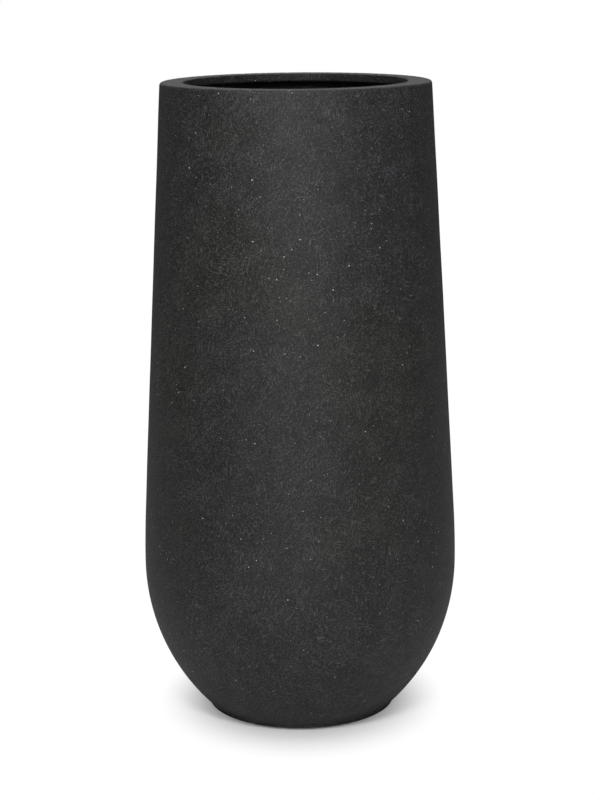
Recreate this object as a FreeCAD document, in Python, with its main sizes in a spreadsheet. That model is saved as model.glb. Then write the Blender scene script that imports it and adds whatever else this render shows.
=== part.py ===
import FreeCAD, Part
import math
import os
import re

import Sketcher

# A tall round planter of fiberglass laminate, standing on its foot. Millimetres, +Z up.
# The origin is the centre of the footprint, on the floor.

SIZES = {
    # the vessel's outer surface
    "height": 900,
    "rim_radius": 188.5,          # where the barrel's straight flank meets the rim's top plane
    "belly_radius": 224,          # the widest girth
    "belly_height": 215,
    "shoulder_arc": 1558,         # the slow curve from the widest girth up into the flank
    "bowl_arc": 289,              # the curve from the widest girth down to the foot
    "foot_riser": 4,              # upright edge round the foot
    "foot_edge_round": 1.5,
    "foot_ring": 34,              # width of the ring that the planter stands on
    "foot_recess": 4,             # how far the underside is raised inside that ring
    # laminate
    "shell_wall": 6,
    "floor_thickness": 8,
    "bond_line": 0.3,             # adhesive between bonded pieces
    "strap_height": 70,
    "strap_thickness": 4,
    # turned-in rim
    "mouth_radius": 156,
    "rim_thickness": 6,
    "rim_edge_round": 4,
    "mouth_edge_round": 1,
    "lip_depth": 12,
    "lip_wall": 6,
    "spigot_depth": 16,           # downstand that is bonded inside the barrel
    "spigot_wall": 4,
    # ledge that carries the liner
    "ledge_clearance": 6,
    "ledge_thickness": 5,
    "ledge_wall": 4,
    "ledge_leg": 36,
    "ledge_hem": 12,
    # foot and drain
    "plate_thickness": 9,
    "plate_margin": 12,
    "drain_bore": 10.5,
    "bush_wall": 3,
    "bush_flange_radius": 20,
    "bush_flange_thickness": 3,
    "plug_clearance": 0.3,
    "plug_tail": 1,               # the stem stops this far above the floor's underside
    "plug_head_radius": 17,
    "plug_head_thickness": 4,
    "plug_neck_radius": 4.5,
    "plug_neck_length": 9,
    "plug_knob_radius": 9,
    "plug_knob_thickness": 5,
    "plug_edge_round": 1.2,
    "pad_count": 6,
    "pad_radius": 12.5,
    "pad_thickness": 2,
    # liner
    "seat_gap": 0.3,              # between pieces that rest on each other
    "mouth_clearance": 3,         # round the liner as it passes the mouth
    "liner_drop": 34,             # from the rim's top down to the liner's
    "liner_flange_thickness": 4,
    "liner_flange_round": 1.2,
    "liner_opening": 126,
    "liner_wall": 3,
    "liner_depth": 300,
    "liner_draft": 26,            # how much narrower the liner is at its floor
    "liner_floor": 3,
    "liner_corner_round": 8,
    "liner_drain_radius": 6,
    "liner_drain_circle": 62,
    "liner_drain_count": 6,
    # wire bails and the ears that hold them
    "wire_radius": 2,
    "bail_spacing": 24,           # between the two bails' pivot lines
    "bail_inset": 4,              # from the liner's opening out to the wire's middle
    "bail_bend": 5,
    "ear_gap": 0.5,
    "ear_thickness": 5,
    "ear_length": 44,
    "ear_height": 9,
    "ear_round": 3,
    "pivot_clearance": 0.05,
    "stub_tail": 1.5,
}


def barrel_radius(up, depth):
    """Radius of the straight flank at the height up, depth inside the outer surface."""
    return (f"shoulder_centre + (shoulder_arc - ({depth})) / cos(taper)"
            f" - ({up} - belly_height) * tan(taper)")


def shoulder_radius(up, depth):
    """Radius of the slow curve above the widest girth, depth inside the outer surface."""
    return (f"shoulder_centre + sqrt((shoulder_arc - ({depth})) ^ 2"
            f" - ({up} - belly_height) ^ 2)")


def bowl_radius(up, depth):
    """Radius of the bowl below the widest girth, depth inside the outer surface."""
    return (f"belly_radius - bowl_arc + sqrt((bowl_arc - ({depth})) ^ 2"
            f" - (belly_height - ({up})) ^ 2)")


DERIVED = {
    # the flank runs from the rim as a tangent to the shoulder's circle
    "shoulder_centre": "belly_radius - shoulder_arc",
    "rim_reach": "sqrt((rim_radius - shoulder_centre) ^ 2 + (height - belly_height) ^ 2)",
    "taper": "atan2(height - belly_height; rim_radius - shoulder_centre)"
             " - acos(shoulder_arc / rim_reach)",
    "rim_under": "height - rim_thickness",
    "lip_radius": "mouth_radius + lip_wall",
    # foot, from the floor up
    "foot_under": "pad_thickness",
    "foot_top": "foot_under + foot_riser",
    "foot_radius": bowl_radius("foot_top", "0"),
    "pad_circle": "foot_radius - foot_ring / 2",
    "floor_under": "foot_under + foot_recess",
    "floor_top": "floor_under + floor_thickness",
    "plate_top": "floor_top + plate_thickness",
    "bush_top": "plate_top + bush_flange_thickness",
    "bush_radius": "drain_bore + bush_wall",
    "drain_hole": "bush_radius + bond_line",
    "plug_under": "bush_top + seat_gap",
    # strap across the shells' joint
    "strap_low": "belly_height - strap_height / 2",
    "strap_high": "belly_height + strap_height / 2",
    "strap_outside": "shell_wall + bond_line",
    "strap_inside": "strap_outside + strap_thickness",
    # liner, from its rim down
    "liner_top": "height - liner_drop",
    "flange_under": "liner_top - liner_flange_thickness",
    "liner_under": "liner_top - liner_depth",
    "liner_flange_radius": "mouth_radius - mouth_clearance",
    "liner_inside_low": "liner_opening - liner_draft",
    "ledge_top": "flange_under - seat_gap",
    "ledge_under": "ledge_top - ledge_thickness",
    "ledge_foot": "ledge_top - ledge_leg",
    "ledge_radius": "liner_opening + liner_wall + ledge_clearance",
    # bails lie on the liner's flange
    "bail_height": "liner_top + wire_radius + seat_gap",
    "bail_offset": "bail_spacing / 2",
    "bail_arc": "liner_opening + bail_inset",
    "bend_end": "bail_arc + bail_bend",
    "ear_inner": "bend_end + ear_gap",
    "stub_end": "ear_inner + ear_thickness + stub_tail",
    "bail_centre": "bail_offset + bail_bend",
}

SHEET = "Sizes"


def fill_sheet(doc):
    """Write every size into the sheet, one to a row, with its name as the alias."""
    sheet = doc.addObject("Spreadsheet::Sheet", SHEET)
    rows = [(name, str(value)) for name, value in SIZES.items()]
    rows += [(name, "=" + formula) for name, formula in DERIVED.items()]
    for row, (name, content) in enumerate(rows, start=1):
        sheet.set(f"A{row}", name)
        sheet.set(f"B{row}", content)
        sheet.setAlias(f"B{row}", name)
    doc.recompute()
    return sheet


def bound(expression):
    """The expression with each size read from the sheet."""
    def from_sheet(match):
        word = match.group()
        return f"{SHEET}.{word}" if word in SIZES or word in DERIVED else word
    return re.sub(r"[a-z_]+", from_sheet, expression)


class Piece:
    """One sub-part: a body whose features read the sheet."""

    def __init__(self, doc, sheet, label):
        self.doc = doc
        self.sheet = sheet
        self.body = doc.addObject("PartDesign::Body", label)
        self.body.Label = label
        self.last = None

    def value(self, expression):
        """What an expression on the sizes comes to now."""
        return float(self.sheet.evalExpression(expression))

    def datum(self, role):
        """An origin plane or axis of this body."""
        for feature in self.body.Origin.OriginFeatures:
            if feature.Role == role:
                return feature
        raise ValueError(role)

    def sketch(self, name, role, lift=None):
        """A sketch on an origin plane, raised by the expression lift along its normal."""
        sketch = self.body.newObject("Sketcher::SketchObject", name)
        sketch.AttachmentSupport = (self.datum(role), "")
        sketch.MapMode = "FlatFace"
        if lift:
            sketch.setExpression("AttachmentOffset.Base.z", bound(lift))
        return sketch

    def place_point(self, sketch, edge, end, corner):
        """Dimension a point from the sketch's origin."""
        for kind, axis, size in (("DistanceX", -2, corner[0]), ("DistanceY", -1, corner[1])):
            value = self.value(size)
            if abs(value) < 1e-9:
                sketch.addConstraint(Sketcher.Constraint("PointOnObject", edge, end, axis))
                continue
            if value > 0:
                constraint = Sketcher.Constraint(kind, -1, 1, edge, end, value)
                expression = bound(size)
            else:
                constraint = Sketcher.Constraint(kind, edge, end, -1, 1, -value)
                expression = f"-({bound(size)})"
            index = sketch.addConstraint(constraint)
            sketch.setExpression(f"Constraints[{index}]", expression)

    def draw(self, sketch, corners, closed=True):
        """Draw lines and arcs from corner to corner and dimension them.

        A corner is (across, up) for a line to the next corner, or (across, up, radius, side)
        for an arc whose centre lies to the left (1) or right (-1) of the way there.
        """
        points = [FreeCAD.Vector(self.value(c[0]), self.value(c[1]), 0) for c in corners]
        count = len(corners) if closed else len(corners) - 1
        starts = []
        ends = []
        for index in range(count):
            here = points[index]
            there = points[(index + 1) % len(points)]
            if len(corners[index]) == 2:
                edge = sketch.addGeometry(Part.LineSegment(here, there))
                starts.append((edge, 1))
                ends.append((edge, 2))
                continue
            size, side = corners[index][2:]
            edge = sketch.addGeometry(arc_between(here, there, self.value(size), side))
            starts.append((edge, 1 if side > 0 else 2))
            ends.append((edge, 2 if side > 0 else 1))
            bend = sketch.addConstraint(Sketcher.Constraint("Radius", edge, self.value(size)))
            sketch.setExpression(f"Constraints[{bend}]", bound(size))
        for index in range(count if closed else count - 1):
            following = (index + 1) % count
            sketch.addConstraint(Sketcher.Constraint("Coincident", *ends[index],
                                                     *starts[following]))
        for index in range(count):
            self.place_point(sketch, *starts[index], corners[index])
        if not closed:
            self.place_point(sketch, *ends[-1], corners[-1])

    def revolve(self, corners):
        """Turn an outline of (radius, height) corners about the upright axis."""
        sketch = self.sketch(self.body.Label + "_outline", "XZ_Plane")
        self.draw(sketch, corners)
        turned = self.body.newObject("PartDesign::Revolution", self.body.Label + "_turned")
        turned.Profile = sketch
        turned.ReferenceAxis = (sketch, ["V_Axis"])
        turned.Angle = 360
        return self.keep(turned)

    def round_edges(self, size, radius, up):
        """Round the circular edges of this radius and height."""
        self.doc.recompute()
        wanted_radius = self.value(radius)
        wanted_height = self.value(up)
        names = []
        for index, edge in enumerate(self.last.Shape.Edges, start=1):
            if not isinstance(edge.Curve, Part.Circle):
                continue
            near = abs(edge.Curve.Radius - wanted_radius) < 0.01
            if near and abs(edge.Curve.Center.z - wanted_height) < 0.01:
                names.append(f"Edge{index}")
        if not names:
            raise ValueError(f"{self.body.Label}: no edge at {radius}, {up}")
        rounded = self.body.newObject("PartDesign::Fillet", self.body.Label + "_round")
        rounded.Base = (self.last, names)
        rounded.setExpression("Radius", bound(size))
        return self.keep(rounded)

    def primitive(self, kind, name, sizes, place):
        """Add or cut a box or cylinder; sizes and place are expressions."""
        solid = self.body.newObject("PartDesign::" + kind, name)
        for key, expression in sizes.items():
            solid.setExpression(key, bound(expression))
        for axis, expression in zip("xyz", place):
            solid.setExpression(f"Placement.Base.{axis}", bound(expression))
        return self.keep(solid)

    def keep(self, feature):
        """Make a feature the body's last one."""
        self.body.Tip = feature
        self.last = feature
        self.doc.recompute()
        return feature


def arc_between(here, there, radius, side):
    """The shorter arc from here to there with its centre on the given side."""
    chord = there - here
    sagitta_side = FreeCAD.Vector(-chord.y, chord.x, 0).normalize() * side
    rise = math.sqrt(radius ** 2 - (chord.Length / 2) ** 2)
    centre = (here + there) * 0.5 + sagitta_side * rise
    first, second = (here, there) if side > 0 else (there, here)
    angles = [math.atan2(p.y - centre.y, p.x - centre.x) for p in (first, second)]
    circle = Part.Circle(centre, FreeCAD.Vector(0, 0, 1), radius)
    return Part.ArcOfCircle(circle, angles[0], angles[1])


def make_upper_shell(doc, sheet):
    """The barrel, from the widest girth to the rim."""
    piece = Piece(doc, sheet, "upper_shell")
    inner_arc = "shoulder_arc - shell_wall"
    piece.revolve([
        ("belly_radius", "belly_height", "shoulder_arc", 1),
        ("shoulder_centre + shoulder_arc * cos(taper)",
         "belly_height + shoulder_arc * sin(taper)"),
        (barrel_radius("rim_under", "0"), "rim_under"),
        (barrel_radius("rim_under", "shell_wall"), "rim_under"),
        (f"shoulder_centre + ({inner_arc}) * cos(taper)",
         f"belly_height + ({inner_arc}) * sin(taper)", inner_arc, -1),
        ("belly_radius - shell_wall", "belly_height"),
    ])
    return piece.body


def make_lower_shell(doc, sheet):
    """The bowl with its flat foot and drain hole, up to the widest girth."""
    piece = Piece(doc, sheet, "lower_shell")
    piece.revolve([
        ("drain_hole", "floor_under"),
        ("foot_radius - foot_ring", "floor_under"),
        ("foot_radius - foot_ring", "foot_under"),
        ("foot_radius", "foot_under"),
        ("foot_radius", "foot_top", "bowl_arc", 1),
        ("belly_radius", "belly_height"),
        ("belly_radius - shell_wall", "belly_height", "bowl_arc - shell_wall", -1),
        (bowl_radius("floor_top", "shell_wall"), "floor_top"),
        ("drain_hole", "floor_top"),
    ])
    piece.round_edges("foot_edge_round", "foot_radius", "foot_under")
    piece.round_edges("foot_edge_round", "foot_radius - foot_ring", "foot_under")
    return piece.body


def make_rim_ring(doc, sheet):
    """The turned-in rim: flat top, turned-down lip and a spigot inside the barrel."""
    piece = Piece(doc, sheet, "rim_ring")
    spigot_foot = "rim_under - spigot_depth"
    spigot_outside = barrel_radius("rim_under", "shell_wall + bond_line")
    spigot_inside = f"{spigot_outside} - spigot_wall"
    piece.revolve([
        ("mouth_radius", "height - lip_depth"),
        ("lip_radius", "height - lip_depth"),
        ("lip_radius", "rim_under"),
        (spigot_inside, "rim_under"),
        (spigot_inside, spigot_foot),
        (spigot_outside, spigot_foot),
        (spigot_outside, "rim_under"),
        (barrel_radius("rim_under", "0"), "rim_under"),
        ("rim_radius", "height"),
        ("mouth_radius", "height"),
    ])
    piece.round_edges("rim_edge_round", "rim_radius", "height")
    piece.round_edges("mouth_edge_round", "mouth_radius", "height")
    return piece.body


def make_seam_strap(doc, sheet):
    """The laminate strap bonded across the two shells' joint, inside."""
    piece = Piece(doc, sheet, "seam_strap")
    corners = []
    for depth, side in (("strap_outside", 1), ("strap_inside", -1)):
        face = [
            (bowl_radius("strap_low", depth), "strap_low", f"bowl_arc - {depth}", side),
            (f"belly_radius - {depth}", "belly_height", f"shoulder_arc - {depth}", side),
            (shoulder_radius("strap_high", depth), "strap_high"),
        ]
        if side < 0:
            top, middle, bottom = face[2][:2], face[1][:2], face[0][:2]
            face = [top + face[1][2:], middle + face[0][2:], bottom]
        corners += face
    piece.revolve(corners)
    return piece.body


def make_liner_ledge(doc, sheet):
    """The ring bonded inside the barrel, with a shelf and a hem, that carries the liner."""
    piece = Piece(doc, sheet, "liner_ledge")
    outside = "shell_wall + bond_line"
    inside = f"{outside} + ledge_wall"
    hem_outside = "ledge_radius + ledge_wall"
    hem_foot = "ledge_top - ledge_hem"
    piece.revolve([
        (barrel_radius("ledge_foot", outside), "ledge_foot"),
        (barrel_radius("ledge_top", outside), "ledge_top"),
        ("ledge_radius", "ledge_top"),
        ("ledge_radius", hem_foot),
        (hem_outside, hem_foot),
        (hem_outside, "ledge_under"),
        (barrel_radius("ledge_under", inside), "ledge_under"),
        (barrel_radius("ledge_foot", inside), "ledge_foot"),
    ])
    return piece.body


def make_base_plate(doc, sheet):
    """The doubler disc on the floor, round the drain hole."""
    piece = Piece(doc, sheet, "base_plate")
    edge = f"{bowl_radius('floor_top', 'shell_wall')} - plate_margin"
    piece.revolve([
        ("drain_hole", "floor_top"),
        (edge, "floor_top"),
        (edge, "plate_top"),
        ("drain_hole", "plate_top"),
    ])
    return piece.body


def make_drain_bush(doc, sheet):
    """The flanged bush through the plate and the foot."""
    piece = Piece(doc, sheet, "drain_bush")
    piece.revolve([
        ("drain_bore", "floor_under"),
        ("bush_radius", "floor_under"),
        ("bush_radius", "plate_top"),
        ("bush_flange_radius", "plate_top"),
        ("bush_flange_radius", "bush_top"),
        ("drain_bore", "bush_top"),
    ])
    return piece.body


def make_drain_plug(doc, sheet):
    """The rubber plug: a stem in the bush, a head on its flange and a knob to pull."""
    piece = Piece(doc, sheet, "drain_plug")
    stem = "drain_bore - plug_clearance"
    head_top = "plug_under + plug_head_thickness"
    knob_under = f"{head_top} + plug_neck_length"
    knob_top = f"{knob_under} + plug_knob_thickness"
    piece.revolve([
        ("0", "floor_under + plug_tail"),
        (stem, "floor_under + plug_tail"),
        (stem, "plug_under"),
        ("plug_head_radius", "plug_under"),
        ("plug_head_radius", head_top),
        ("plug_neck_radius", head_top),
        ("plug_neck_radius", knob_under),
        ("plug_knob_radius", knob_under),
        ("plug_knob_radius", knob_top),
        ("0", knob_top),
    ])
    piece.round_edges("plug_edge_round", "plug_head_radius", head_top)
    piece.round_edges("plug_edge_round", "plug_knob_radius", knob_top)
    return piece.body


def make_liner_pot(doc, sheet):
    """The removable pot: a drafted wall, a flange with two ears, and holes in the floor."""
    piece = Piece(doc, sheet, "liner_pot")
    outside_low = "liner_inside_low + liner_wall"
    outside_high = "liner_opening + liner_wall"
    floor_top = "liner_under + liner_floor"
    piece.revolve([
        ("0", "liner_under"),
        (outside_low, "liner_under"),
        (outside_high, "flange_under"),
        ("liner_flange_radius", "flange_under"),
        ("liner_flange_radius", "liner_top"),
        ("liner_opening", "liner_top"),
        ("liner_inside_low", floor_top),
        ("0", floor_top),
    ])
    piece.round_edges("liner_flange_round", "liner_flange_radius", "liner_top")
    piece.round_edges("liner_flange_round", "liner_opening", "liner_top")
    piece.round_edges("liner_corner_round", outside_low, "liner_under")
    piece.round_edges("liner_corner_round - liner_wall", "liner_inside_low", floor_top)
    hole = piece.primitive("SubtractiveCylinder", "liner_drain",
                           {"Radius": "liner_drain_radius", "Height": "liner_floor * 3"},
                           ("liner_drain_circle", "0", "liner_under - liner_floor"))
    holes = piece.body.newObject("PartDesign::PolarPattern", "liner_drains")
    holes.Originals = [hole]
    holes.Axis = (piece.datum("Z_Axis"), [""])
    holes.Angle = 360
    holes.setExpression("Occurrences", bound("liner_drain_count"))
    piece.keep(holes)
    for side, low in ((1, "ear_inner"), (-1, "-ear_inner - ear_thickness")):
        piece.primitive("AdditiveBox", "ear",
                        {"Length": "ear_length", "Width": "ear_thickness",
                         "Height": "ear_height + liner_flange_thickness / 2"},
                        ("-ear_length / 2", low, "liner_top - liner_flange_thickness / 2"))
    return piece


def cut_ear_details(piece):
    """Round the ears' upper corners and drill the holes that the bails turn in."""
    tops = []
    top = piece.value("liner_top + ear_height")
    for index, edge in enumerate(piece.last.Shape.Edges, start=1):
        ends = [vertex.Point for vertex in edge.Vertexes]
        if len(ends) == 2 and all(abs(end.z - top) < 0.01 for end in ends):
            if abs(ends[0].x - ends[1].x) < 0.01:
                tops.append(f"Edge{index}")
    rounded = piece.body.newObject("PartDesign::Fillet", "ear_round_corners")
    rounded.Base = (piece.last, tops)
    rounded.setExpression("Radius", bound("ear_round"))
    piece.keep(rounded)
    for across in ("bail_offset", "-bail_offset"):
        hole = piece.primitive("SubtractiveCylinder", "pivot_hole",
                               {"Radius": "wire_radius + pivot_clearance",
                                "Height": "stub_end * 2"},
                               (across, "stub_end", "bail_height"))
        hole.Placement = FreeCAD.Placement(hole.Placement.Base,
                                           FreeCAD.Rotation(FreeCAD.Vector(1, 0, 0), 90))
    piece.doc.recompute()


def make_lift_bail(doc, sheet, label, turn):
    """A half-round wire with its ends bent outwards into the ears, turned about the axis."""
    piece = Piece(doc, sheet, label)
    route = piece.sketch(label + "_route", "XY_Plane", lift="bail_height")
    piece.draw(route, [
        ("bail_offset", "stub_end"),
        ("bail_offset", "bend_end", "bail_bend", 1),
        ("bail_centre", "bail_arc", "bail_arc", -1),
        ("bail_centre + bail_arc", "0", "bail_arc", -1),
        ("bail_centre", "-bail_arc", "bail_bend", 1),
        ("bail_offset", "-bend_end"),
        ("bail_offset", "-stub_end"),
    ], closed=False)
    section = piece.sketch(label + "_section", "XZ_Plane", lift="-stub_end")
    middle = FreeCAD.Vector(piece.value("bail_offset"), piece.value("bail_height"), 0)
    normal = FreeCAD.Vector(0, 0, 1)
    ring = section.addGeometry(Part.Circle(middle, normal, piece.value("wire_radius")))
    piece.place_point(section, ring, 3, ("bail_offset", "bail_height"))
    size = section.addConstraint(Sketcher.Constraint("Radius", ring,
                                                     piece.value("wire_radius")))
    section.setExpression(f"Constraints[{size}]", bound("wire_radius"))
    doc.recompute()
    wire = piece.body.newObject("PartDesign::AdditivePipe", label + "_wire")
    wire.Profile = section
    wire.Spine = (route, [f"Edge{index + 1}" for index in range(len(route.Geometry))])
    piece.keep(wire)
    piece.body.Placement = FreeCAD.Placement(
        FreeCAD.Vector(0, 0, 0), FreeCAD.Rotation(FreeCAD.Vector(0, 0, 1), turn))
    return piece.body


def make_foot_pads(doc, sheet):
    """The ring of pads stuck under the foot."""
    pads = []
    count = int(sheet.evalExpression("pad_count"))
    for index in range(count):
        pad = doc.addObject("Part::Cylinder", "pad")
        pad.setExpression("Radius", bound("pad_radius"))
        pad.setExpression("Height", bound("pad_thickness"))
        angle = f"360 / pad_count * {index}"
        pad.setExpression("Placement.Base.x", bound(f"pad_circle * cos({angle})"))
        pad.setExpression("Placement.Base.y", bound(f"pad_circle * sin({angle})"))
        pads.append(pad)
    group = doc.addObject("Part::Compound", "foot_pads")
    group.Links = pads
    return group


def check(doc, pieces):
    """Stop if a feature failed or a piece isn't sound."""
    doc.recompute()
    failed = [item.Name for item in doc.Objects
              if "Invalid" in item.State or "Error" in item.State]
    if failed:
        raise RuntimeError(f"failed features: {failed}")
    for piece in pieces:
        if piece.Shape.isNull() or not piece.Shape.isValid():
            raise RuntimeError(f"{piece.Label} has no sound shape")


def main():
    doc = FreeCAD.newDocument("tall_planter")
    sheet = fill_sheet(doc)
    liner = make_liner_pot(doc, sheet)
    cut_ear_details(liner)
    pieces = [
        make_upper_shell(doc, sheet),
        make_lower_shell(doc, sheet),
        make_rim_ring(doc, sheet),
        make_seam_strap(doc, sheet),
        make_liner_ledge(doc, sheet),
        make_base_plate(doc, sheet),
        make_drain_bush(doc, sheet),
        make_foot_pads(doc, sheet),
        make_drain_plug(doc, sheet),
        liner.body,
        make_lift_bail(doc, sheet, "lift_bail_right", 0),
        make_lift_bail(doc, sheet, "lift_bail_left", 180),
    ]
    check(doc, pieces)
    os.makedirs("parts", exist_ok=True)
    for piece in pieces:
        piece.Shape.exportStep(f"parts/{piece.Label}.step")
        box = piece.Shape.BoundBox
        print(f"{piece.Label:16s} {len(piece.Shape.Solids)} solid(s)"
              f" {piece.Shape.Volume / 1000:9.1f} cm3  z {box.ZMin:.2f} to {box.ZMax:.2f}")


main()
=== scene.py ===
import logging
import math
from dataclasses import dataclass, field
from enum import Enum
from typing import Callable, Iterable, Sequence

import bmesh
import bpy
from mathutils import Matrix, Vector, noise


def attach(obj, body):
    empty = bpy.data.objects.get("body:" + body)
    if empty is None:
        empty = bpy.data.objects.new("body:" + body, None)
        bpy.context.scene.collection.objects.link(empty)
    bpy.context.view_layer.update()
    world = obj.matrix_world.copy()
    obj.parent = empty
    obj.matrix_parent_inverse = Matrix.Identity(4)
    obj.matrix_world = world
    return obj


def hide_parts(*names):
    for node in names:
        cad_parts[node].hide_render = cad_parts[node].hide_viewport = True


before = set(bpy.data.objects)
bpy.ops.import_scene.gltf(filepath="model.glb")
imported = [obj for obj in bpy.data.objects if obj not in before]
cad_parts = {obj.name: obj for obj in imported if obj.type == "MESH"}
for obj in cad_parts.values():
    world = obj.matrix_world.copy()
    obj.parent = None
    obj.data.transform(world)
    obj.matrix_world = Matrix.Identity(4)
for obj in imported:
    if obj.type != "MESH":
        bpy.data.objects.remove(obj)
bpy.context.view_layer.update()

# A tall round planter of filled, coated laminate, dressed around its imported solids.
# Metres, +Z up, the origin in the middle of the footprint on the floor.

log = logging.getLogger("planter")

MM = 0.001
FULL_TURN = 2 * math.pi
QUARTER = math.pi / 2
SHARP_ANGLE = math.radians(38)
MERGE = 1e-6        # metres within which two vertices are one
ROUND = 4           # pieces in the round of an edge
CURVE = 8           # pieces in a larger round
PEG_SIDES = 40
UP = Vector((0, 0, 1))


# ---------------------------------------------------------------- shader arithmetic


class Signal:
    """A number in a shader, written in ordinary arithmetic."""

    def __init__(self, shader: "Shader", socket: bpy.types.NodeSocket) -> None:
        """Wrap an output socket of the shader's tree."""
        self.shader = shader
        self.socket = socket

    def maths(self, operation: str, *others: "Signal | float") -> "Signal":
        """Run a Math node on this value.

        Args:
            operation: The Math node's operation.
            others: The second operand, where the operation has one.

        Returns:
            The node's result.
        """
        node = self.shader.node("ShaderNodeMath", dict(enumerate((self, *others))),
                                operation=operation)
        return Signal(self.shader, node.outputs[0])

    def __add__(self, other: "Signal | float") -> "Signal":
        """Sum."""
        return self.maths("ADD", other)

    __radd__ = __add__

    def __mul__(self, other: "Signal | float") -> "Signal":
        """Product."""
        return self.maths("MULTIPLY", other)

    __rmul__ = __mul__

    def __sub__(self, other: "Signal | float") -> "Signal":
        """Difference."""
        return self.maths("SUBTRACT", other)

    def __rsub__(self, other: float) -> "Signal":
        """Difference from a plain number."""
        return self * -1 + other

    def __abs__(self) -> "Signal":
        """Size without sign."""
        return self.maths("ABSOLUTE")

    def rises(self, low: float, high: float) -> "Signal":
        """Go smoothly from 0 at low to 1 at high.

        Args:
            low: The value that gives 0.
            high: The value that gives 1; below low, the slope turns round.

        Returns:
            The eased value.
        """
        if low > high:
            return 1 - self.rises(high, low)
        node = self.shader.node(
            "ShaderNodeMapRange", {"Value": self, "From Min": low, "From Max": high},
            interpolation_type="SMOOTHSTEP")
        return Signal(self.shader, node.outputs["Result"])


class NodeTree:
    """A node tree that starts empty."""

    def __init__(self, tree: bpy.types.NodeTree) -> None:
        """Empty the tree."""
        self.tree = tree
        self.tree.nodes.clear()

    def node(self, kind: str, values: dict | None = None, **settings: object) -> bpy.types.Node:
        """Add a node.

        Args:
            kind: The node's type.
            values: Plain values, sockets or signals for its inputs.
            settings: The node's own settings, which are set first.

        Returns:
            The node.
        """
        node = self.tree.nodes.new(kind)
        for key, setting in settings.items():
            setattr(node, key, setting)
        for key, value in (values or {}).items():
            self.feed(node.inputs[key], value)
        return node

    def feed(self, socket: bpy.types.NodeSocket, value: object) -> None:
        """Give an input its value.

        Args:
            socket: The input.
            value: A plain value, a socket or a signal.
        """
        if isinstance(value, Signal):
            value = value.socket
        if isinstance(value, bpy.types.NodeSocket):
            self.tree.links.new(value, socket)
        else:
            socket.default_value = value

    def mixed(self, share: "Signal | bpy.types.NodeSocket", low: bpy.types.Node,
              high: bpy.types.Node) -> bpy.types.Node:
        """Mix two shaders: the low one where the share is 0, the high one where it is 1."""
        return self.node("ShaderNodeMixShader",
                         {0: share, 1: low.outputs[0], 2: high.outputs[0]})


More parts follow.
